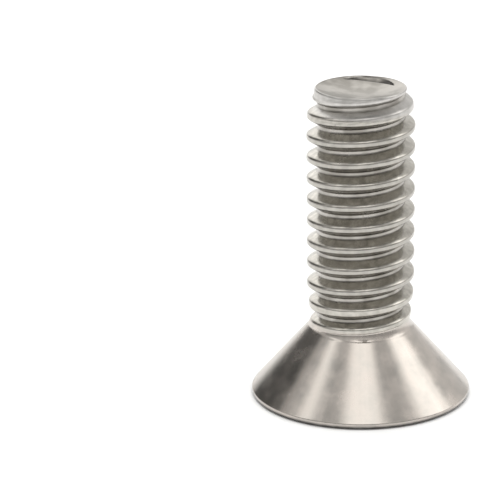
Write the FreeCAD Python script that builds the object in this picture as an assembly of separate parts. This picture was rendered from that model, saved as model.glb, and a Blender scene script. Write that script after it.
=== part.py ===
import FreeCAD, Part
import math
import os

"""Countersunk socket screw standing on its head: an 82 degree flat head with a hex socket,
and a rolled right-hand 1/4-20 UNC thread that runs down to the head. Sizes in millimetres.
Z is the screw's axis, z = 0 is the flat face of the head and the tip is at the top.

The thread is built from its four spiral lines. An angle t counts on from turn to turn, and
at each t the groove has four corners: two on the surface of the rolled blank and two at its
root. Each corner draws a line, and ruled faces or strips of a cylinder join the lines."""

V = FreeCAD.Vector
UV = FreeCAD.Base.Vector2d
CENTRE = V(0, 0, 0)
UP = V(0, 0, 1)

# Overall
LENGTH = 18.6               # head face to tip
HEAD_D = 12.86              # over the land round the head
CONE_ANGLE = 82.0           # included angle of the countersunk cone
LAND_HEIGHT = 0.33          # upright rim between the face and the cone
LAND_BREAK = 0.05           # flat where the land meets the cone
FACE_BREAK = 0.08           # flat where the land meets the face

# Hex socket
SOCKET_FLATS = 3.97         # across flats, for a 5/32 inch key
SOCKET_DEPTH = 3.0          # along the flats
FLOOR_CONE = 0.22           # depth of the shallow cone that the punch leaves in the floor
MOUTH_FLARE = 0.13          # how far the 45 degree mouth reaches past the corners

# Thread
PITCH = 1.27
CREST_D = 6.25
FLANK_ANGLE = 30.0          # each flank, from square to the axis
CREST_SHARE = 0.155         # crest width over pitch
ROOT_SHARE = 0.166          # root width over pitch
SECTORS = 6                 # pieces that each turn of a line is drawn in
STEPS = 6                   # spans of the curve in each piece

# Neck, where the rolled thread fades out over the head
NECK_LACK = 0.31            # the blank is this much less than CREST_D next to the head
NECK_FILLET = 0.8
NECK_LEDGE = 0.02           # fine step where the rolling dies end
NECK_LENGTH = 0.33          # plain length above the fillet
NECK_GROWTH = 1.7           # length over which the blank grows to the full crest
FADE_SECTORS = 4            # the last groove loses its depth over these pieces
FADE_GAP = 0.03             # between the fillet and the last groove

# Tip
NOSE_D = 5.32               # at the very end
NOSE_TAPER = 0.14           # added to NOSE_D at the nose's foot
NOSE_HEIGHT = 0.50
FIRST_CREST_LACK = 0.31     # rolling hasn't filled the first crest
FIRST_CREST_DROP = 0.82     # below the end
FULL_CREST_DROP = 2.1       # below the end
LIP_WIDTH = 0.05
LIP_BEVEL = 0.17
CUP_DEPTH = 0.36            # rolling leaves the end cupped
CUP_MIDDLE = 0.55           # share of the cup's radius where its slope eases
CUP_EASE = 0.08             # rise of the flatter middle

# Fold of metal that rolling pushes over the groove where it runs out at the end
FOLD_HEIGHT = 0.22          # of the metal that closes the groove
FOLD_GAP = 0.04             # inside the nose's surface
FOLD_SINK = 0.03            # of its flat top below the lip
FOLD_BEFORE = 52.0          # angle from the seam's start to the groove's run-out
FOLD_AFTER = 16.0           # and on to the seam's end
SEAM_START_IN = 0.68        # from the nose's surface to the seam, at its start
SEAM_END_IN = 0.37
SEAM_BOW = 0.16             # how far the seam curves out from its chord
SEAM_WIDTH = 0.09
SEAM_DEPTH = 0.2

# Derived
HEAD_R = HEAD_D / 2
CREST_R = CREST_D / 2
NECK_R = (CREST_D - NECK_LACK) / 2
NOSE_R = NOSE_D / 2
COLLAR_R = NECK_R + NECK_LEDGE
CONE_SLOPE = math.tan(math.radians(CONE_ANGLE / 2))
FLANK_SLOPE = math.tan(math.radians(FLANK_ANGLE))
CONE_TOP = LAND_HEIGHT + (HEAD_R - COLLAR_R) / CONE_SLOPE
NECK_FOOT = CONE_TOP + NECK_FILLET * math.tan(math.radians(CONE_ANGLE / 4))
GROWTH_START = NECK_FOOT + NECK_LENGTH
VEE_R = CREST_R - PITCH * (1 - CREST_SHARE) / 2 / FLANK_SLOPE
ROOT_HALF = PITCH * ROOT_SHARE / 2
ROOT_HEIGHT = ROOT_HALF / FLANK_SLOPE
ROOT_R = VEE_R + ROOT_HEIGHT
FADE_LEVEL = NECK_FOOT + FADE_GAP
FADE_START = FADE_LEVEL + (NECK_R - VEE_R) * FLANK_SLOPE
FADE_FROM = 360 * (FADE_START / PITCH - 0.5)
FADE_ARC = FADE_SECTORS * 360 / SECTORS
FADE_TO = FADE_FROM - FADE_ARC
RUN_OUT = 360 * (LENGTH / PITCH - 0.5)
BLANK = [
    (GROWTH_START, NECK_R),
    (GROWTH_START + NECK_GROWTH, CREST_R),
    (LENGTH - FULL_CREST_DROP, CREST_R),
    (LENGTH - FIRST_CREST_DROP, (CREST_D - FIRST_CREST_LACK) / 2),
    (LENGTH - NOSE_HEIGHT, (NOSE_D + NOSE_TAPER) / 2),
    (LENGTH, NOSE_R),
]


def eased(share):
    """A share from 0 to 1 that starts and ends gently."""
    share = min(max(share, 0.0), 1.0)
    return share * share * (3 - 2 * share)


def blank_radius(z):
    """The radius of the rolled blank at a height."""
    radius = BLANK[0][1]
    for (z0, r0), (z1, r1) in zip(BLANK, BLANK[1:]):
        radius += (r1 - r0) * eased((z - z0) / (z1 - z0))
    return radius


def groove_corners(t):
    """The groove's corners (r, z) at angle t, from the crest below it to the crest above it.
    Below FADE_FROM the root moves out to the neck and the lower edge stays level, and below
    FADE_TO the corners lie on the plain neck, which goes down inside the head. Where the
    blank is thinner than the root, the root lies on it."""
    fade = eased((FADE_FROM - t) / FADE_ARC)
    root_r = ROOT_R + (NECK_R - ROOT_R) * fade
    if t >= FADE_FROM:
        middle = PITCH * (t / 360 + 0.5)
    else:
        middle = FADE_LEVEL + (NECK_R - root_r + ROOT_HEIGHT) * FLANK_SLOPE
        middle -= PITCH * max(FADE_TO - t, 0) / 360
    blank_r = blank_radius(middle)
    root_r = min(root_r, blank_r)
    vee_r = root_r - ROOT_HEIGHT
    crests = []
    for side in (-1, 1):
        r = CREST_R
        for _ in range(20):
            r = blank_radius(middle + side * (r - vee_r) * FLANK_SLOPE)
        crests.append((r, middle + side * (r - vee_r) * FLANK_SLOPE))
    root_half = ROOT_HALF * (0.5 + 0.5 * eased((blank_r - root_r) / ROOT_HEIGHT))
    return [crests[0], (root_r, middle - root_half), (root_r, middle + root_half), crests[1]]


def at(corner, t):
    """The point of a corner (r, z) at angle t."""
    r, z = corner
    return V(r * math.cos(math.radians(t)), r * math.sin(math.radians(t)), z)


def sector_angles():
    """The angles t that divide the lines into pieces, from inside the head to past the tip.
    The fade begins and ends at one of them."""
    step = 360 / SECTORS
    below = FADE_SECTORS + SECTORS + 1
    above = math.ceil((360 * (LENGTH / PITCH + 1.5) - FADE_FROM) / step)
    return [FADE_FROM + step * i for i in range(-below, above + 1)]


def is_full(corners):
    """True where corners (r, z) all lie on the full crest's cylinder."""
    return all(abs(CREST_R - r) < 1e-9 for r, z in corners)


def crest_lines(t0, points):
    """The edges that join points (t, z) on the full crest's cylinder, whose seam is at t0."""
    cylinder = Part.Cylinder()
    cylinder.Radius = CREST_R
    cylinder.rotate(FreeCAD.Placement(CENTRE, FreeCAD.Rotation(UP, t0)))
    flat = [UV(math.radians(t - t0), z) for t, z in points]
    return [Part.Geom2d.Line2dSegment(a, b).toShape(cylinder) for a, b in zip(flat, flat[1:])]


def spiral(corner, t0, t1):
    """The edge that one corner of the groove draws from t0 to t1."""
    ts = [t0 + (t1 - t0) * i / STEPS for i in range(STEPS + 1)]
    corners = [groove_corners(t)[corner] for t in ts]
    if is_full(corners):
        return crest_lines(t0, [(t0, corners[0][1]), (t1, corners[-1][1])])[0]
    curve = Part.BSplineCurve()
    curve.interpolate([at(c, t) for c, t in zip(corners, ts)])
    return curve.toShape()


def crest_face(t0, t1, below, above):
    """The crest between two lines: a strip of the cylinder where it is full."""
    low = [groove_corners(t)[3] for t in (t0, t1)]
    high = [groove_corners(t + 360)[0] for t in (t0, t1)]
    if not is_full(low + high):
        return Part.makeRuledSurface(below, above)
    ring = [(t0, low[0][1]), (t1, low[1][1]), (t1, high[1][1]), (t0, high[0][1])]
    return Part.Face(Part.Wire(crest_lines(t0, ring + ring[:1])))


def end_faces(edges, ts, corner, wall):
    """The faces that close one end of the rod: a spiral ramp from a line to the axis, and the
    flat wall where that ramp begins and ends."""
    heights = [groove_corners(t)[corner][1] for t in ts]
    axis = [V(0, 0, z) for z in heights]
    ramp = [Part.makeRuledSurface(e, Part.makeLine(a, b)) for e, a, b in zip(edges, axis, axis[1:])]
    outline = [at(c, ts[0]) for c in wall] + axis[::-1]
    return ramp + [Part.Face(Part.makePolygon(outline + outline[:1]))]


def threaded_rod():
    """The whole thread as one solid, longer than the screw's shank at both ends."""
    ts = sector_angles()
    spans = list(zip(ts, ts[1:]))
    lines = [[spiral(corner, t0, t1) for t0, t1 in spans] for corner in range(4)]
    faces = []
    for low, high in zip(lines, lines[1:]):
        faces += [Part.makeRuledSurface(a, b) for a, b in zip(low, high)]
    for (t0, t1), below, above in zip(spans, lines[3], lines[0][SECTORS:]):
        faces.append(crest_face(t0, t1, below, above))
    first = groove_corners(ts[0]) + groove_corners(ts[SECTORS])[:1]
    last = groove_corners(ts[-SECTORS - 1])[3:] + groove_corners(ts[-1])
    faces += end_faces(lines[0][:SECTORS], ts[:SECTORS + 1], 0, first)
    faces += end_faces(lines[3][-SECTORS:], ts[-SECTORS - 1:], 3, last)
    shell = Part.makeShell(faces)
    shell.sewShape()
    return Part.makeSolid(shell)


def outline(points):
    """The edges that join (r, z) points in turn."""
    corners = [V(r, 0, z) for r, z in points]
    return [Part.makeLine(a, b) for a, b in zip(corners, corners[1:])]


def revolved(edges):
    """The solid that a closed outline sweeps round the axis."""
    return Part.Face(Part.Wire(edges)).revolve(CENTRE, UP, 360)


def head():
    """The head: its face, land and cone, and the fillet that meets the thread's end."""
    def fillet_point(angle):
        r = COLLAR_R + NECK_FILLET * (1 - math.cos(math.radians(angle)))
        return r, NECK_FOOT - NECK_FILLET * math.sin(math.radians(angle))

    fillet = [fillet_point(angle) for angle in (CONE_ANGLE / 2, CONE_ANGLE / 4, 0)]
    body = [
        fillet[2],
        (0, NECK_FOOT),
        (0, 0),
        (HEAD_R - FACE_BREAK, 0),
        (HEAD_R, FACE_BREAK),
        (HEAD_R, LAND_HEIGHT - LAND_BREAK),
        (HEAD_R - LAND_BREAK * CONE_SLOPE, LAND_HEIGHT + LAND_BREAK),
        fillet[0],
    ]
    arc = Part.Arc(*[V(r, 0, z) for r, z in fillet])
    return revolved(outline(body) + [arc.toShape()])


def tip_waste():
    """What is cut away above the end: a fine lip, its inner bevel and the cup inside it."""
    lip_r = NOSE_R - LIP_WIDTH
    cup_r = lip_r - LIP_BEVEL
    floor = LENGTH - CUP_DEPTH
    top = LENGTH + 4 * PITCH
    waste = [
        (0, floor),
        (cup_r * CUP_MIDDLE, floor + CUP_EASE),
        (cup_r, LENGTH - LIP_BEVEL),
        (lip_r, LENGTH),
        (HEAD_R, LENGTH),
        (HEAD_R, top),
        (0, top),
    ]
    return revolved(outline(waste + waste[:1]))


def seam_point(angle, inset):
    """The point (x, y) of the fold's seam at an angle from the groove's run-out."""
    turned = math.radians(RUN_OUT + angle)
    return V(math.cos(turned), math.sin(turned), 0) * (NOSE_R - inset)


def fold_seam():
    """The seam where the folded metal meets the cup: the start, end and top of its curve, and
    the direction in which it bulges."""
    start = seam_point(-FOLD_BEFORE, SEAM_START_IN)
    end = seam_point(FOLD_AFTER, SEAM_END_IN)
    outward = (end - start).cross(UP)
    outward.normalize()
    bulge = (start + end) / 2 + outward * SEAM_BOW
    return start, end, bulge, outward


def fold_space():
    """The space above the folded metal's side of the seam, up to its flat top."""
    start, end, bulge, outward = fold_seam()
    low = UP * (LENGTH - CUP_DEPTH - SEAM_DEPTH)
    far = outward * NOSE_D
    beyond = (end - start) * 2
    arc = Part.Arc(start + low, bulge + low, end + low).toShape()
    path = [end, end + beyond, end + beyond + far, start - beyond + far, start - beyond, start]
    sides = [Part.makeLine(a + low, b + low) for a, b in zip(path, path[1:])]
    height = CUP_DEPTH + SEAM_DEPTH - FOLD_SINK
    return Part.Face(Part.Wire([arc] + sides)).extrude(UP * height)


def seam_cut():
    """The dark crevice along the seam, widest in its middle."""
    start, end, bulge, outward = fold_seam()
    low = UP * (LENGTH - SEAM_DEPTH)
    inner = Part.Arc(start + low, bulge - outward * SEAM_WIDTH + low, end + low).toShape()
    outer = Part.Arc(end + low, bulge + low, start + low).toShape()
    return Part.Face(Part.Wire([inner, outer])).extrude(UP * SEAM_DEPTH * 2)


def fold_metal():
    """The disc that closes the groove just under the end."""
    return Part.makeCylinder(NOSE_R - FOLD_GAP, FOLD_HEIGHT, V(0, 0, LENGTH - FOLD_HEIGHT))


def socket():
    """The hex socket with a corner on the X axis, its coned floor and its 45 degree mouth."""
    corner_r = SOCKET_FLATS / math.sqrt(3)
    corners = [V(corner_r, 0, 0)]
    for i in range(1, 6):
        angle = math.radians(60 * i)
        corners.append(V(corner_r * math.cos(angle), corner_r * math.sin(angle), 0))
    hexagon = Part.Face(Part.makePolygon(corners + corners[:1]))
    floor_r = SOCKET_FLATS / 2
    floor = Part.makeCone(floor_r, 0, FLOOR_CONE, V(0, 0, SOCKET_DEPTH))
    mouth_r = corner_r + MOUTH_FLARE
    mouth = Part.makeCone(mouth_r, 0, mouth_r)
    return [hexagon.extrude(UP * SOCKET_DEPTH), floor, mouth]


def screw():
    """The head and thread as one solid, with the end and the socket cut."""
    body = head().multiFuse([threaded_rod(), fold_metal()])
    body = body.cut(tip_waste().cut(fold_space()))
    return body.cut([seam_cut()] + socket())


os.makedirs("parts", exist_ok=True)
body = screw().Solids[0]
body.exportStep("parts/countersunk_socket_screw.step")
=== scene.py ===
import math

import bpy
import numpy as np
from mathutils import Matrix, Vector


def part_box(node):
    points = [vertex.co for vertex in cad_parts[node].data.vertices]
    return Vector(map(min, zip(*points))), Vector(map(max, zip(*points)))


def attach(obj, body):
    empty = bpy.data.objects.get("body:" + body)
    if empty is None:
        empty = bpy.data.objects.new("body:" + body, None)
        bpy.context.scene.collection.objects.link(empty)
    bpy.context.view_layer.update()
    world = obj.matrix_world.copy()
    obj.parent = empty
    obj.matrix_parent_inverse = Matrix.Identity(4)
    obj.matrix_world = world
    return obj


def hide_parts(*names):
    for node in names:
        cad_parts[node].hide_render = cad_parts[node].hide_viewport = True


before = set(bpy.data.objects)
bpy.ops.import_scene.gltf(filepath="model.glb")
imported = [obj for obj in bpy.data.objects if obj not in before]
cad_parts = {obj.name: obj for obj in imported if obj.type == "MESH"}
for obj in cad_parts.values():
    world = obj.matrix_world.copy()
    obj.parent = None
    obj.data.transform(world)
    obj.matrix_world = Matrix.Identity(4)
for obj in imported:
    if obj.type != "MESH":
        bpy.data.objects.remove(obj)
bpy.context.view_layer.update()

# The finished look of the countersunk socket screw, which stands on its head on a pale floor.
# Lengths are in millimetres and become metres where a mesh, a mask or an object is made.

MM = 0.001
NODE = "countersunk_socket_screw"
LOW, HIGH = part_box(NODE)

# How far the camera stands round the screw's axis from -Y, with anticlockwise as more
VIEW_TURN = math.radians(-39.4)

# Head, from the frame's size and the standard's angle
LENGTH = (HIGH.z - LOW.z) / MM
HEAD_R = (HIGH.x - LOW.x) / 2 / MM
CONE_ANGLE = math.radians(82.0)
LAND_HEIGHT = 0.33
LAND_ROUND = 0.10
FACE_ROUND = 0.22

# Hex socket
SOCKET_FLATS = 3.97
SOCKET_DEPTH = 3.0
FLOOR_CONE = 0.22
FLOOR_MARGIN = 0.03
MOUTH_FLARE = 0.13
MOUTH_ROUND = 0.05

# Thread. A softness sets how widely a corner of the groove is rounded.
PITCH = 1.27
CREST_R = 3.15
THREAD_DROP = 0.026
FLANK_SLOPE = math.tan(math.radians(30.0))
CREST_SHARE = 0.24
ROOT_SHARE = 0.18
ROOT_SOFTNESS = 0.035
UPPER_SOFTNESS = 0.16
LOWER_SOFTNESS = 0.13
TIP_SOFTNESS = 0.14
NOSE_SOFTNESS = 0.34
NOSE_EDGE_DROP = 0.95
NOSE_EDGE_BLEND = 0.2
GROOVE_TURNS = range(2, 17)

# Waves along the thread, each with its phase's speed and its start, and their heights
WAVES = ((5.3, 0.0), (11.9, 1.1), (19.7, 2.3))
ROOT_WAVES = 0.004
CREST_WAVES = 0.004
CREST_WAVES_RISE = 0.5

# Neck. Over FADE_ARC degrees the groove's root rises until it lies FADE_LIFT outside the neck,
# while the groove's lower edge stays FADE_GAP above the neck's foot.
NECK_R = 2.97
NECK_FILLET = 0.8
NECK_LENGTH = 0.33
NECK_GROWTH = 1.7
FADE_ARC = 203.0
FADE_GAP = -0.10
FADE_LIFT = 0.05

# Shallow recess under the last crest, between two places in degrees along the helix
RECESS_TURNS = (3, 4)
RECESS_FROM = 1200.0
RECESS_TO = 1470.0
RECESS_START_ARC = 70.0
RECESS_END_ARC = 90.0
RECESS_DEPTH = 0.10
RECESS_EASE = 0.30
RECESS_BLEND = 0.10
CONE_CUT = 0.03
CREST_EDGE_DROP = 0.08

# A small nick in the neck, a little to the right of the middle of the view
NICK_TURN = math.degrees(VIEW_TURN) + 273.5
NICK_HEIGHT = 4.15
NICK_LENGTH = 0.27
NICK_WIDTH = 0.04
NICK_DEPTH = 0.05
NICK_BLEND = 0.05

# Tip. A drop is measured down from the end.
NOSE_R = 2.66
NOSE_FOOT_R = 2.73
NOSE_HEIGHT = 0.50
FIRST_CREST_R = 3.02
FIRST_CREST_DROP = 0.82
FULL_CREST_DROP = 2.1
LIP_WIDTH = 0.08
LIP_BEVEL = 0.03
LIP_ROUND = 0.075
CUP_DEPTH = 0.48

# Folded metal that closes the last groove in the end, and the seam it leaves in the cup
FOLD_HEIGHT = 0.22
FOLD_GAP = 0.03
FOLD_BLEND = 0.08
FOLD_DROP = 0.03
FOLD_FALL = 0.12
FOLD_EDGE = 0.06
SEAM_START = VIEW_TURN + math.radians(33.0)
SEAM_END = VIEW_TURN + math.radians(102.0)
SEAM_START_IN = 0.50
SEAM_END_IN = 0.36
SEAM_BOW = 0.44
SEAM_DEPTH = 0.26
SEAM_WIDTH = 0.17
SEAM_END_SHARE = 0.35
SEAM_FADE = 0.5

# Mesh: its columns and rows of points, and the shares of each part's reach where rows lie. WELD
# is in metres.
COLUMNS = 192
FLOOR_SHARES = (0.02, 0.2, 0.4, 0.6, 0.8, 0.97)
WALL_SHARES = (0.01, 0.25, 0.5, 0.75, 1.0)
MOUTH_SHARES = (0.06, 0.5, 0.97)
FACE_SHARES = (0.05, 0.35, 0.65, 0.97)
FACE_ROUND_ROWS = 7
LAND_ROUND_ROWS = 6
CONE_SHARES = np.linspace(0.02, 0.995, 16)
ROWS_PER_PITCH = 26
LIP_ANGLES = (15, 30, 45, 60, 75, 90)
CUP_ROWS = 64
EDGE_STEPS = 4
WELD = 2e-8
SHARP_ANGLE = math.radians(32.0)
THETA = np.arange(COLUMNS) * 360 / COLUMNS

# Derived
TAN_CONE = math.tan(CONE_ANGLE / 2)
CONE_TOP = LAND_HEIGHT + (HEAD_R - NECK_R) / TAN_CONE
NECK_FOOT = CONE_TOP + NECK_FILLET * math.tan(CONE_ANGLE / 4)
FILLET_START = NECK_FOOT - NECK_FILLET * math.sin(CONE_ANGLE / 2)
GROWTH_START = NECK_FOOT + NECK_LENGTH
ROOT_HALF = PITCH * ROOT_SHARE / 2
ROOT_R = CREST_R - (PITCH * (1 - CREST_SHARE) / 2 - ROOT_HALF) / FLANK_SLOPE
FADE_LEVEL = NECK_FOOT + FADE_GAP
FADE_TOP = FADE_LEVEL + (NECK_R - ROOT_R) * FLANK_SLOPE + ROOT_HALF
FADE_FROM = 360 * ((FADE_TOP + THREAD_DROP) / PITCH - 0.5)
SOCKET_CORNER_R = SOCKET_FLATS / math.sqrt(3)
CUP_R = NOSE_R - LIP_WIDTH - LIP_BEVEL
BLANK = (
    (GROWTH_START, NECK_R),
    (GROWTH_START + NECK_GROWTH, CREST_R),
    (LENGTH - FULL_CREST_DROP, CREST_R),
    (LENGTH - FIRST_CREST_DROP, FIRST_CREST_R),
    (LENGTH - NOSE_HEIGHT, NOSE_FOOT_R),
    (LENGTH, NOSE_R),
)


def eased(share):
    """A share from 0 to 1 that starts and ends gently."""
    share = np.clip(share, 0.0, 1.0)
    return share * share * (3 - 2 * share)


def blend_lower(a, b, width):
    """The lower of two values, with the corner between them rounded over a width."""
    near = np.clip(width - np.abs(a - b), 0, None)
    return np.minimum(a, b) - near * near / width / 4


def blend_upper(a, b, width):
    """The upper of two values, with the corner between them rounded over a width."""
    return -blend_lower(-a, -b, width)


def cone_radius(z):
    return HEAD_R - (z - LAND_HEIGHT) * TAN_CONE


def blank_radius(z):
    """The rolled blank's radius at height z, with the fillet and cone under it."""
    radius = np.full_like(z, NECK_R)
    for (z0, r0), (z1, r1) in zip(BLANK, BLANK[1:]):
        radius += (r1 - r0) * np.clip((z - z0) / (z1 - z0), 0, 1)
    drop = np.clip((NECK_FOOT - z) / NECK_FILLET, 0, math.sin(CONE_ANGLE / 2))
    fillet = NECK_R + NECK_FILLET * (1 - np.sqrt(1 - drop * drop))
    return np.where(z < FILLET_START, cone_radius(z), np.where(z < NECK_FOOT, fillet, radius))


def waves(angle):
    """Small uneven waves along the thread, from -1 to 1, at an angle in degrees."""
    angle = np.radians(angle)
    return sum(np.sin(speed * angle + start) for speed, start in WAVES) / len(WAVES)


def cut_groove(radius, theta, z):
    """The blank's radius with the groove rolled into it. The last turn loses its depth over
    the neck, where its lower edge stays level."""
    tip = eased((z - (LENGTH - FULL_CREST_DROP)) / (FULL_CREST_DROP - FIRST_CREST_DROP))
    nose = eased((z - (LENGTH - NOSE_EDGE_DROP)) / NOSE_EDGE_BLEND)
    for turn in GROOVE_TURNS:
        t = theta + 360 * turn
        fade = eased((FADE_FROM - t) / FADE_ARC)
        root = ROOT_R + ROOT_WAVES * waves(t) + (NECK_R + FADE_LIFT - ROOT_R) * fade
        level = FADE_LEVEL + (NECK_R - root) * FLANK_SLOPE + ROOT_HALF
        middle = np.where(t >= FADE_FROM, PITCH * (t / 360 + 0.5) - THREAD_DROP, level)
        away = z - middle
        flank = root + (np.abs(away) - ROOT_HALF) / FLANK_SLOPE
        groove = blend_upper(flank, root, ROOT_SOFTNESS / FLANK_SLOPE)
        softness = np.where(away < 0, UPPER_SOFTNESS, LOWER_SOFTNESS)
        softness = softness + (TIP_SOFTNESS - softness) * tip * (away < 0)
        softness = softness + (NOSE_SOFTNESS - softness) * nose * (away > 0)
        cut = blend_lower(groove, radius, softness)
        radius = np.where((fade < 1) & (np.abs(away) < PITCH), cut, radius)
    return radius


def under_last_crest(radius, theta, z):
    """The radius with the shallow recess and the nick that lie under the last crest's edge."""
    neck = np.full_like(z, NECK_R - RECESS_DEPTH)
    hollow = blend_upper(cone_radius(z) - CONE_CUT, neck, RECESS_EASE)
    over_foot = eased((z - FILLET_START) / RECESS_BLEND)
    for turn in RECESS_TURNS:
        t = theta + 360 * turn
        share = eased((t - RECESS_FROM) / RECESS_START_ARC) * eased((RECESS_TO - t) / RECESS_END_ARC)
        edge = PITCH * t / 360 - CREST_EDGE_DROP
        under_edge = eased((edge - z) / RECESS_BLEND + 0.5)
        radius = radius - np.clip(radius - hollow, 0, None) * share * under_edge * over_foot
    along = np.radians(theta - NICK_TURN) * NECK_R / NICK_LENGTH
    across = (z - NICK_HEIGHT) / NICK_WIDTH
    nick = NICK_DEPTH * np.exp(-along * along - across * across)
    return radius - nick * eased((z - FILLET_START) / NICK_BLEND)


def shank_radius(theta, z):
    """The threaded shank's radius at angle theta in degrees and height z."""
    crest_waves = CREST_WAVES * waves(z / PITCH * 360) * eased((z - NECK_FOOT) / CREST_WAVES_RISE)
    radius = cut_groove(blank_radius(z) + crest_waves, theta, z)
    radius = under_last_crest(radius, theta, z)
    closed = eased((z - (LENGTH - FOLD_HEIGHT - FOLD_BLEND / 2)) / FOLD_BLEND)
    return radius + (np.maximum(radius, NOSE_R - FOLD_GAP) - radius) * closed


def seam_place(theta, r):
    """The place of a point of the end: along the seam's chord, out from its curve, and the
    chord's length."""
    start_r = NOSE_R - SEAM_START_IN
    end_r = NOSE_R - SEAM_END_IN
    start = np.array([math.cos(SEAM_START), math.sin(SEAM_START)]) * start_r
    chord = np.array([math.cos(SEAM_END), math.sin(SEAM_END)]) * end_r - start
    length = np.hypot(*chord)
    chord = chord / length
    x = r * np.cos(np.radians(theta)) - start[0]
    y = r * np.sin(np.radians(theta)) - start[1]
    s = x * chord[0] + y * chord[1]
    out = x * chord[1] - y * chord[0] - SEAM_BOW * (1 - (2 * s / length - 1) ** 2)
    return s, out, length


def end_height(theta, r):
    """The height of the cupped end at angle theta in degrees and radius r."""
    lip_r = NOSE_R - LIP_WIDTH
    bevel = LENGTH + np.minimum(0, r - lip_r)
    cup = LENGTH - CUP_DEPTH + (CUP_DEPTH - LIP_BEVEL) * (r / CUP_R) ** 2
    height = np.where(r > CUP_R, bevel, cup)
    s, out, length = seam_place(theta, r)
    inside = eased(s / SEAM_FADE + 0.5) * eased((length - s) / SEAM_FADE + 1)
    folded = LENGTH - FOLD_DROP - FOLD_FALL * np.clip(lip_r - r, 0, 1)
    height = height + (np.maximum(folded, height) - height) * eased(out / FOLD_EDGE) * inside
    width = SEAM_WIDTH * (SEAM_END_SHARE + np.sin(math.pi * np.clip(s / length, 0, 1)))
    return height - SEAM_DEPTH * np.exp(-2 * (out / width) ** 2) * inside


def ring(radii, heights):
    """One closed ring of points as rows of x, y, z."""
    theta = np.radians(THETA)
    radii = np.broadcast_to(radii, theta.shape)
    heights = np.broadcast_to(heights, theta.shape)
    return np.stack([radii * np.cos(theta), radii * np.sin(theta), heights], axis=-1)


def socket_rings():
    """From near the middle of the socket's floor out to the edge of its mouth."""
    wall_r = SOCKET_FLATS / 2 / np.cos(np.radians(THETA % 60 - 30))
    rings = []
    for share in FLOOR_SHARES:
        r = share * SOCKET_FLATS / 2
        rings.append(ring(r, SOCKET_DEPTH + FLOOR_CONE * (1 - share)))
    rings.append(ring(wall_r - FLOOR_MARGIN, SOCKET_DEPTH))
    mouth_r = SOCKET_CORNER_R + MOUTH_FLARE
    wall_top = mouth_r - wall_r
    for share in WALL_SHARES:
        rings.append(ring(wall_r, SOCKET_DEPTH + (wall_top - SOCKET_DEPTH) * share))
    for share in MOUTH_SHARES:
        r = wall_r + (mouth_r - wall_r) * share
        rings.append(ring(r, mouth_r - r))
    rings.append(ring(mouth_r + MOUTH_ROUND, 0))
    return rings


def head_rings():
    """The flat face, the rounded land and the cone up to the neck's fillet."""
    rings = []
    face_end = HEAD_R - FACE_ROUND
    face_start = SOCKET_CORNER_R + MOUTH_FLARE + MOUTH_ROUND
    for share in FACE_SHARES:
        rings.append(ring(face_start + (face_end - face_start) * share, 0))
    for angle in np.radians(np.linspace(0, 90, FACE_ROUND_ROWS)):
        r = face_end + FACE_ROUND * math.sin(angle)
        rings.append(ring(r, FACE_ROUND * (1 - math.cos(angle))))
    land_end = LAND_HEIGHT - LAND_ROUND * math.tan(CONE_ANGLE / 4)
    for angle in np.linspace(0, CONE_ANGLE / 2, LAND_ROUND_ROWS):
        r = HEAD_R - LAND_ROUND * (1 - math.cos(angle))
        rings.append(ring(r, land_end + LAND_ROUND * math.sin(angle)))
    cone_start = land_end + LAND_ROUND * math.sin(CONE_ANGLE / 2)
    for share in CONE_SHARES:
        z = cone_start + (FILLET_START - cone_start) * share
        rings.append(ring(cone_radius(z), z))
    return rings


def end_edge():
    """The radius and height of the end's outer edge in each column, found step by step."""
    edge_z = np.full(COLUMNS, LENGTH)
    for _ in range(EDGE_STEPS):
        edge_r = shank_radius(THETA, edge_z)
        edge_z = end_height(THETA, edge_r)
    return edge_r, edge_z


def thread_rings(top):
    """The sheared rows that follow the helix from the fillet to the end's edge. Rows are cut
    off at both ends by moving their points to the limit, and the last column repeats the first
    one a turn higher up."""
    theta = np.append(THETA, 360)
    across = np.cos(np.radians(theta))
    along = np.sin(np.radians(theta))
    tops = np.append(top, top[0])
    step = PITCH / ROWS_PER_PITCH
    first = math.floor((FILLET_START - PITCH) / step) - 1
    last = math.ceil(LENGTH / step) + 1
    rows = []
    for row in range(first, last + 1):
        z = np.clip(row * step + PITCH * theta / 360, FILLET_START, tops)
        r = shank_radius(theta, z)
        rows.append(np.stack([r * across, r * along, z], axis=-1))
    return rows


def end_rings(edge_r):
    """The end's rounded edge, its lip and the cup, in to near the middle."""
    rings = []
    for angle in np.radians(LIP_ANGLES):
        r = edge_r - LIP_ROUND * (1 - math.cos(angle))
        rings.append(ring(r, end_height(THETA, r) - LIP_ROUND * (1 - math.sin(angle))))
    for share in np.linspace(0.0, 1.0, CUP_ROWS)[1:-1]:
        r = (edge_r - LIP_ROUND) * (1 - share)
        rings.append(ring(r, end_height(THETA, r)))
    return rings


def grid_faces(first, rows, columns, closed):
    """Four-sided faces over rows of points that are numbered from first."""
    faces = []
    for row in range(rows - 1):
        a = first + row * columns
        for i in range(columns if closed else columns - 1):
            j = (i + 1) % columns
            faces.append((a + i, a + j, a + columns + j, a + columns + i))
    return faces


def fan(centre, start, upwards):
    """Three-sided faces from a middle point to a ring."""
    pairs = [(start + i, start + (i + 1) % COLUMNS) for i in range(COLUMNS)]
    return [(centre, a, b) if upwards else (centre, b, a) for a, b in pairs]


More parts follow.
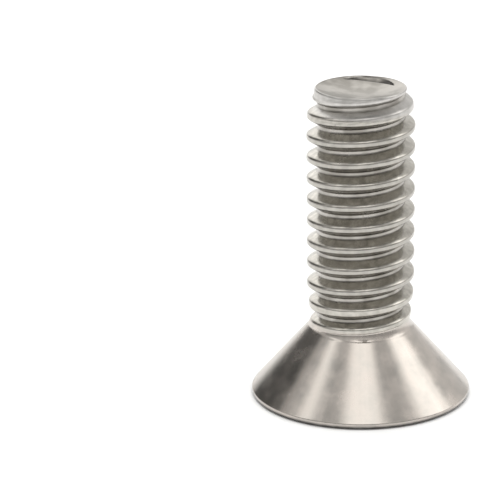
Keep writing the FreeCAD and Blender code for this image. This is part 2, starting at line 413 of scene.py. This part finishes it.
def screw_mesh():
    """The whole screw as one closed mesh in metres."""
    edge_r, edge_z = end_edge()
    top_z = edge_z - LIP_ROUND
    foot = ring(blank_radius(np.array([FILLET_START]))[0], FILLET_START)
    lower = socket_rings() + head_rings() + [foot]
    middle = thread_rings(top_z)
    upper = [ring(shank_radius(THETA, top_z), top_z)] + end_rings(edge_r)
    floor_middle = np.array([[0, 0, SOCKET_DEPTH + FLOOR_CONE]])
    cup_middle = np.array([[0, 0, LENGTH - CUP_DEPTH]])
    points = [floor_middle] + lower + middle + upper + [cup_middle]
    middle_start = 1 + len(lower) * COLUMNS
    upper_start = middle_start + len(middle) * (COLUMNS + 1)
    upper_end = upper_start + len(upper) * COLUMNS
    faces = fan(0, 1, False)
    faces += grid_faces(1, len(lower), COLUMNS, True)
    faces += grid_faces(middle_start, len(middle), COLUMNS + 1, False)
    faces += grid_faces(upper_start, len(upper), COLUMNS, True)
    faces += fan(upper_end, upper_end - COLUMNS, True)
    return welded(np.concatenate(points) * MM, faces)


def welded(points, faces):
    """Points that share a place become one, and faces that lose an edge that way lose the
    corner or go."""
    keys = np.round(points / WELD).astype(np.int64)
    _, index, inverse = np.unique(keys, axis=0, return_index=True, return_inverse=True)
    inverse = inverse.reshape(-1)
    kept = []
    for face in faces:
        corners = []
        for corner in inverse[list(face)]:
            if corner not in corners:
                corners.append(int(corner))
        if len(corners) > 2:
            kept.append(corners)
    return points[index], kept


def noise(tree, place, scale, detail):
    node = tree.nodes.new("ShaderNodeTexNoise")
    node.inputs["Scale"].default_value = scale
    node.inputs["Detail"].default_value = detail
    tree.links.new(place, node.inputs["Vector"])
    return node.outputs["Fac"]


def ramp(tree, value, limits, colours):
    """A colour that goes from the first one at the first limit to the second at the second."""
    node = tree.nodes.new("ShaderNodeValToRGB")
    for element, limit, colour in zip(node.color_ramp.elements, limits, colours):
        element.position = limit
        element.color = (*colour, 1)
    tree.links.new(value, node.inputs["Fac"])
    return node.outputs["Color"]


def map_range(tree, value, limits, results, interpolation="LINEAR"):
    """The first result up to the first limit, the second past the second, and between them a
    value between."""
    node = tree.nodes.new("ShaderNodeMapRange")
    node.interpolation_type = interpolation
    tree.links.new(value, node.inputs["Value"])
    names = ("From Min", "From Max", "To Min", "To Max")
    for name, number in zip(names, (*limits, *results)):
        node.inputs[name].default_value = number
    return node.outputs["Result"]


def above(tree, value, limits):
    """1 above two limits in millimetres and 0 below them."""
    return map_range(tree, value, [limit * MM for limit in limits], (0, 1))


def below(tree, value, limits):
    """1 below two limits in millimetres and 0 above them."""
    return map_range(tree, value, [limit * MM for limit in limits], (1, 0))


def vector_math(tree, operation, vector, constant=None, output="Vector"):
    node = tree.nodes.new("ShaderNodeVectorMath")
    node.operation = operation
    tree.links.new(vector, node.inputs[0])
    if constant is not None:
        node.inputs[1].default_value = constant
    return node.outputs[output]


def dot(tree, vector, axis):
    return vector_math(tree, "DOT_PRODUCT", vector, axis, "Value")


def math_node(tree, operation, a, b=None):
    """The result of an operation on one or two sockets or numbers."""
    node = tree.nodes.new("ShaderNodeMath")
    node.operation = operation
    for socket, value in zip(node.inputs, (a, b)):
        if value is None:
            continue
        if isinstance(value, (int, float)):
            socket.default_value = value
        else:
            tree.links.new(value, socket)
    return node.outputs["Value"]


def product(tree, a, b):
    return math_node(tree, "MULTIPLY", a, b)


def total(tree, a, b):
    return math_node(tree, "ADD", a, b)


def mixed(tree, share, a, b):
    """The colour a where the share is 0, the colour b where it is 1."""
    node = tree.nodes.new("ShaderNodeMix")
    node.data_type = "RGBA"
    tree.links.new(share, node.inputs["Factor"])
    tree.links.new(a, node.inputs["A"])
    tree.links.new(b, node.inputs["B"])
    return node.outputs["Result"]


# Steel: each noise's scale and detail, and each finish's or painted shade's dark and pale
# colour. Scales and the bump's distance go by the metre.
MOTTLE = (900.0, 3.0)
BLOTCH = (900.0, 2.0)
SPECK = (2600.0, 2.0)
STREAK = (7.0, 3.0)
STREAK_SHARE = 0.08
NOISE_LIMITS = (0.3, 0.7)
ROOT_LIMITS = (0.38, 0.58)
CLEAN = ((0.455, 0.430, 0.398), (0.610, 0.560, 0.515))
ROLLED = ((0.45, 0.432, 0.392), (0.60, 0.577, 0.53))
# Painted shade on the thread's undersides
UNDERSIDE_SHADE = ((0.17, 0.162, 0.144), (0.31, 0.295, 0.265))
ROOT = ((0.29, 0.275, 0.25), (0.46, 0.44, 0.41))
WORN = ((0.40, 0.385, 0.355), (0.50, 0.48, 0.445))
NOSE = ((0.51, 0.497, 0.475), (0.63, 0.615, 0.595))
# Painted shade on the head's land and on the steep walls of the seam in the end
PAINTED_SHADE = ((0.11, 0.105, 0.10), (0.22, 0.21, 0.20))
ROUGHNESS = (0.19, 0.28)
TIP_ROUGHNESS = 0.10
BUMP_STRENGTH = 0.12
BUMP_DISTANCE = 0.00002

# The radii or heights between which one finish or painted shade turns into another
ROOT_EDGE = (ROOT_R + 0.03, ROOT_R + 0.10)
CREST_EDGE = (CREST_R - 0.08, CREST_R - 0.02)
SHANK_EDGE = (CREST_R + 0.02, CREST_R + 0.25)
CUP_EDGE = (NOSE_R - 0.35, NOSE_R - 0.25)
RIM_EDGE = (HEAD_R - 0.20, HEAD_R - 0.08)
LAND_TOP = (LAND_HEIGHT - 0.20, LAND_HEIGHT - 0.08)
THREAD_FOOT = (NECK_FOOT - 0.1, NECK_FOOT + 0.1)
NOSE_FOOT = (LENGTH - 1.28, LENGTH - 1.12)
UNDERSIDE_SHADE_TOP = (LENGTH - 1.2, LENGTH - 0.8)
END_FOOT = (LENGTH - 0.8, LENGTH - 0.7)

# How far the surface faces up, from -1 to 1, where it counts as an underside or as steep. Both get
# painted shade.
UNDERSIDE_FACING = (-0.70, -0.25)
STEEP_FACING = (0.50, 0.75)


def steel():
    """Bright warm-grey stainless steel, a little mottled. The rolled thread is duller than the
    machined head, its roots are darker, its undersides carry painted shade, its crests are worn
    grey, and its tip is paler and more matt. The head's land and the seam in the end carry dark
    painted shade."""
    material = bpy.data.materials.new("stainless_steel")
    material.use_nodes = True
    tree = material.node_tree
    shader = tree.nodes["Principled BSDF"]
    shader.inputs["Metallic"].default_value = 1.0
    coordinates = tree.nodes.new("ShaderNodeTexCoord")
    place = coordinates.outputs["Object"]
    level = vector_math(tree, "MULTIPLY", place, (1, 1, 0))
    distance = vector_math(tree, "LENGTH", level, output="Value")
    height = dot(tree, place, (0, 0, 1))
    facing = dot(tree, coordinates.outputs["Normal"], (0, 0, 1))
    mottle = noise(tree, place, *MOTTLE)
    blotch = noise(tree, place, *BLOTCH)
    speck = noise(tree, place, *SPECK)
    streak = noise(tree, vector_math(tree, "NORMALIZE", level), *STREAK)
    streak = map_range(tree, streak, NOISE_LIMITS, (-STREAK_SHARE, STREAK_SHARE))

    tip = above(tree, height, NOSE_FOOT)
    thread = ramp(tree, speck, NOISE_LIMITS, ROLLED)
    thread = mixed(tree, tip, thread, ramp(tree, speck, NOISE_LIMITS, NOSE))
    in_root = below(tree, distance, ROOT_EDGE)
    thread = mixed(tree, in_root, thread, ramp(tree, blotch, ROOT_LIMITS, ROOT))
    on_crest = above(tree, distance, CREST_EDGE)
    thread = mixed(tree, on_crest, thread, ramp(tree, speck, NOISE_LIMITS, WORN))
    # Painted shade: the thread's undersides are darkened by how far they face down, except near the
    # end
    under = map_range(tree, facing, UNDERSIDE_FACING, (1, 0))
    under = product(tree, under, below(tree, height, UNDERSIDE_SHADE_TOP))
    thread = mixed(tree, under, thread, ramp(tree, speck, NOISE_LIMITS, UNDERSIDE_SHADE))

    on_thread = product(tree, below(tree, distance, SHANK_EDGE), above(tree, height, THREAD_FOOT))
    colour = ramp(tree, total(tree, mottle, streak), NOISE_LIMITS, CLEAN)
    colour = mixed(tree, on_thread, colour, thread)
    dark = ramp(tree, speck, NOISE_LIMITS, PAINTED_SHADE)
    # Painted shade: the steep walls of the seam in the cup are darkened
    steep = map_range(tree, facing, STEEP_FACING, (1, 0))
    in_cup = product(tree, below(tree, distance, CUP_EDGE), above(tree, height, END_FOOT))
    seam_shade = product(tree, steep, in_cup)
    colour = mixed(tree, seam_shade, colour, dark)
    # Painted shade: the head's land, low on the rim, is darkened
    land_shade = product(tree, above(tree, distance, RIM_EDGE), below(tree, height, LAND_TOP))
    colour = mixed(tree, land_shade, colour, dark)
    tree.links.new(colour, shader.inputs["Base Color"])

    rough = map_range(tree, mottle, NOISE_LIMITS, ROUGHNESS)
    rough = total(tree, rough, product(tree, tip, TIP_ROUGHNESS))
    tree.links.new(rough, shader.inputs["Roughness"])
    bump = tree.nodes.new("ShaderNodeBump")
    bump.inputs["Strength"].default_value = BUMP_STRENGTH
    bump.inputs["Distance"].default_value = BUMP_DISTANCE
    tree.links.new(blotch, bump.inputs["Height"])
    tree.links.new(bump.outputs["Normal"], shader.inputs["Normal"])
    return material


def build_screw():
    points, faces = screw_mesh()
    mesh = bpy.data.meshes.new("screw_surface")
    mesh.from_pydata(points.tolist(), [], faces)
    mesh.validate()
    mesh.polygons.foreach_set("use_smooth", [True] * len(mesh.polygons))
    mesh.set_sharp_from_angle(angle=SHARP_ANGLE)
    mesh.materials.append(steel())
    piece = bpy.data.objects.new("screw_surface", mesh)
    bpy.context.scene.collection.objects.link(piece)
    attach(piece, "root")
    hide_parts(NODE)


# Camera, fitted to the photograph, as for a view along +Y. Its clip distances are in metres.
CAMERA_BACK = 157.35
CAMERA_HEIGHT = 60.89
CAMERA_TURN = math.radians(2.355)
CAMERA_DOWN = math.radians(18.327)
CAMERA_ROLL = math.radians(-0.630)
FRAME_WIDTH = 500
FOCAL_PIXELS = 2832.6
SENSOR = 36.0
CLIP_START = 0.01
CLIP_END = 10.0


def turned(direction):
    """A direction or place that is given for a view along +Y, turned round to the real view."""
    return Matrix.Rotation(VIEW_TURN, 3, "Z") @ Vector(direction)


def add_camera():
    place = turned((0, -CAMERA_BACK, CAMERA_HEIGHT)) * MM
    turn = VIEW_TURN + CAMERA_TURN
    forward = Vector((
        -math.sin(turn) * math.cos(CAMERA_DOWN),
        math.cos(turn) * math.cos(CAMERA_DOWN),
        -math.sin(CAMERA_DOWN),
    ))
    level = Vector((math.cos(turn), math.sin(turn), 0))
    upward = level.cross(forward)
    right = level * math.cos(CAMERA_ROLL) + upward * math.sin(CAMERA_ROLL)
    top = upward * math.cos(CAMERA_ROLL) - level * math.sin(CAMERA_ROLL)
    data = bpy.data.cameras.new("camera")
    data.sensor_width = SENSOR
    data.lens = FOCAL_PIXELS / FRAME_WIDTH * SENSOR
    data.clip_start = CLIP_START
    data.clip_end = CLIP_END
    camera = bpy.data.objects.new("camera", data)
    axes = Matrix((right, top, -forward)).transposed()
    camera.matrix_world = Matrix.Translation(place) @ axes.to_4x4()
    bpy.context.scene.collection.objects.link(camera)
    bpy.context.scene.camera = camera


# Studio: each soft box is (direction, half width, half height, tilt, brightness, softness).
# Directions are for a view along +Y, and tilts are in degrees. The dark flag is given in the
# same way, with the share of the room's light that it takes away as its brightness.
SOFT_BOXES = (
    ((0.04, -0.50, 0.87), 0.26, 0.20, 0, 1.40, 0.09),
    ((0.79, 0.12, 0.60), 0.23, 0.26, 0, 1.45, 0.07),
    ((-0.59, -0.165, 0.787), 0.09, 0.26, 0, 1.25, 0.06),
    ((-0.38, 0.80, 0.45), 0.42, 0.16, -64, 0.75, 0.06),
    ((0.0, 0.78, 0.62), 0.26, 0.38, 0, 0.72, 0.12),
)
DARK_FLAG = ((-0.72, 0.57, 0.40), 0.42, 0.20, -38.5, 0.88, 0.08)
BOX_FACING = (0.2, 0.3)
BACK_LIGHT = 0.80
FRONT_LIGHT = 0.36
MIDDLE_LIGHT = 0.66
CEILING_LIGHT = 0.22
FRONT_TO_BACK = (-0.35, 0.35)
LOW_TO_MIDDLE = (0.35, 0.60)
MIDDLE_TO_CEILING = (0.80, 0.97)
ROOM_COLOUR = (1.0, 0.99, 0.97, 1)
WHITE = (1, 1, 1, 1)

# Floor and lamp, in metres
FLOOR_REACH = 4.0
FLOOR_GAP = 0.00002
FLOOR_COLOUR = (0.93, 0.93, 0.93, 1)
FLOOR_ROUGHNESS = 0.9
FLOOR_SPECULAR = 0.1
LAMP_PLACE = (0.02, 0.06, 0.45)
LAMP_SIZE = 0.5
LAMP_POWER = 1.6


def fall(tree, value, limits):
    """1 below two limits, 0 above them, eased between."""
    return map_range(tree, value, limits, (1.0, 0.0), "SMOOTHSTEP")


def within(tree, value, half, softness):
    """1 where a value is less than half away from 0, with soft limits, and 0 beyond them."""
    away = math_node(tree, "ABSOLUTE", value)
    return fall(tree, away, (half - softness, half + softness))


def soft_box(tree, vector, direction, half_width, half_height, tilt, brightness, softness):
    """The light of one soft box, seen in the direction of a ray."""
    aim = turned(direction).normalized()
    side = Matrix.Rotation(math.radians(-tilt), 3, aim) @ aim.cross(Vector((0, 0, 1))).normalized()
    rise = side.cross(aim)
    behind = fall(tree, dot(tree, vector, aim), BOX_FACING)
    across = within(tree, dot(tree, vector, side), half_width, softness)
    along = within(tree, dot(tree, vector, rise), half_height, softness)
    seen = product(tree, across, along)
    seen = product(tree, seen, math_node(tree, "SUBTRACT", 1.0, behind))
    return product(tree, seen, brightness)


def room_light(tree, vector):
    """The room's light in the direction of a ray: near the horizon it goes from the front to
    the pale backdrop, over that comes an even band, and then the dark ceiling."""
    height = dot(tree, vector, (0, 0, 1))
    at_back = fall(tree, dot(tree, vector, turned((0, -1, 0))), FRONT_TO_BACK)
    low_share = fall(tree, height, LOW_TO_MIDDLE)
    middle_share = fall(tree, height, MIDDLE_TO_CEILING)
    light = product(tree, at_back, BACK_LIGHT - FRONT_LIGHT)
    light = total(tree, light, FRONT_LIGHT - MIDDLE_LIGHT)
    light = product(tree, light, low_share)
    light = total(tree, light, MIDDLE_LIGHT - CEILING_LIGHT)
    light = product(tree, light, middle_share)
    return total(tree, light, CEILING_LIGHT)


def add_sky():
    """A grey room with a dark flag and five soft boxes, and plain white where the camera looks
    at it directly."""
    world = bpy.data.worlds.new("studio")
    bpy.context.scene.world = world
    world.use_nodes = True
    tree = world.node_tree
    tree.nodes.clear()
    vector = tree.nodes.new("ShaderNodeTexCoord").outputs["Generated"]
    flag = math_node(tree, "SUBTRACT", 1.0, soft_box(tree, vector, *DARK_FLAG))
    light = product(tree, room_light(tree, vector), flag)
    for box in SOFT_BOXES:
        light = total(tree, light, soft_box(tree, vector, *box))
    studio = tree.nodes.new("ShaderNodeBackground")
    studio.inputs["Color"].default_value = ROOM_COLOUR
    tree.links.new(light, studio.inputs["Strength"])
    white = tree.nodes.new("ShaderNodeBackground")
    white.inputs["Color"].default_value = WHITE
    white.inputs["Strength"].default_value = 1.0
    path = tree.nodes.new("ShaderNodeLightPath")
    mix = tree.nodes.new("ShaderNodeMixShader")
    tree.links.new(path.outputs["Is Camera Ray"], mix.inputs["Fac"])
    tree.links.new(studio.outputs["Background"], mix.inputs[1])
    tree.links.new(white.outputs["Background"], mix.inputs[2])
    output = tree.nodes.new("ShaderNodeOutputWorld")
    tree.links.new(mix.outputs["Shader"], output.inputs["Surface"])


def add_floor():
    mesh = bpy.data.meshes.new("floor")
    places = ((-1, -1), (1, -1), (1, 1), (-1, 1))
    points = [(x * FLOOR_REACH, y * FLOOR_REACH, 0) for x, y in places]
    mesh.from_pydata(points, [], [(0, 1, 2, 3)])
    material = bpy.data.materials.new("pale_floor")
    material.use_nodes = True
    shader = material.node_tree.nodes["Principled BSDF"]
    shader.inputs["Base Color"].default_value = FLOOR_COLOUR
    shader.inputs["Roughness"].default_value = FLOOR_ROUGHNESS
    shader.inputs["Specular IOR Level"].default_value = FLOOR_SPECULAR
    mesh.materials.append(material)
    floor = bpy.data.objects.new("floor", mesh)
    floor.location.z = LOW.z - FLOOR_GAP
    bpy.context.scene.collection.objects.link(floor)


def add_overhead_lamp():
    """A broad lamp over the floor. It isn't mirrored in the steel."""
    data = bpy.data.lights.new("overhead", "AREA")
    data.size = LAMP_SIZE
    data.energy = LAMP_POWER
    lamp = bpy.data.objects.new("overhead", data)
    lamp.location = LAMP_PLACE
    lamp.visible_glossy = False
    bpy.context.scene.collection.objects.link(lamp)


def add_studio():
    add_sky()
    add_floor()
    add_overhead_lamp()
    add_camera()
    bpy.context.scene.view_settings.view_transform = "Standard"


def corners(limits):
    return [list(corner) for corner in limits]


build_screw()
add_studio()
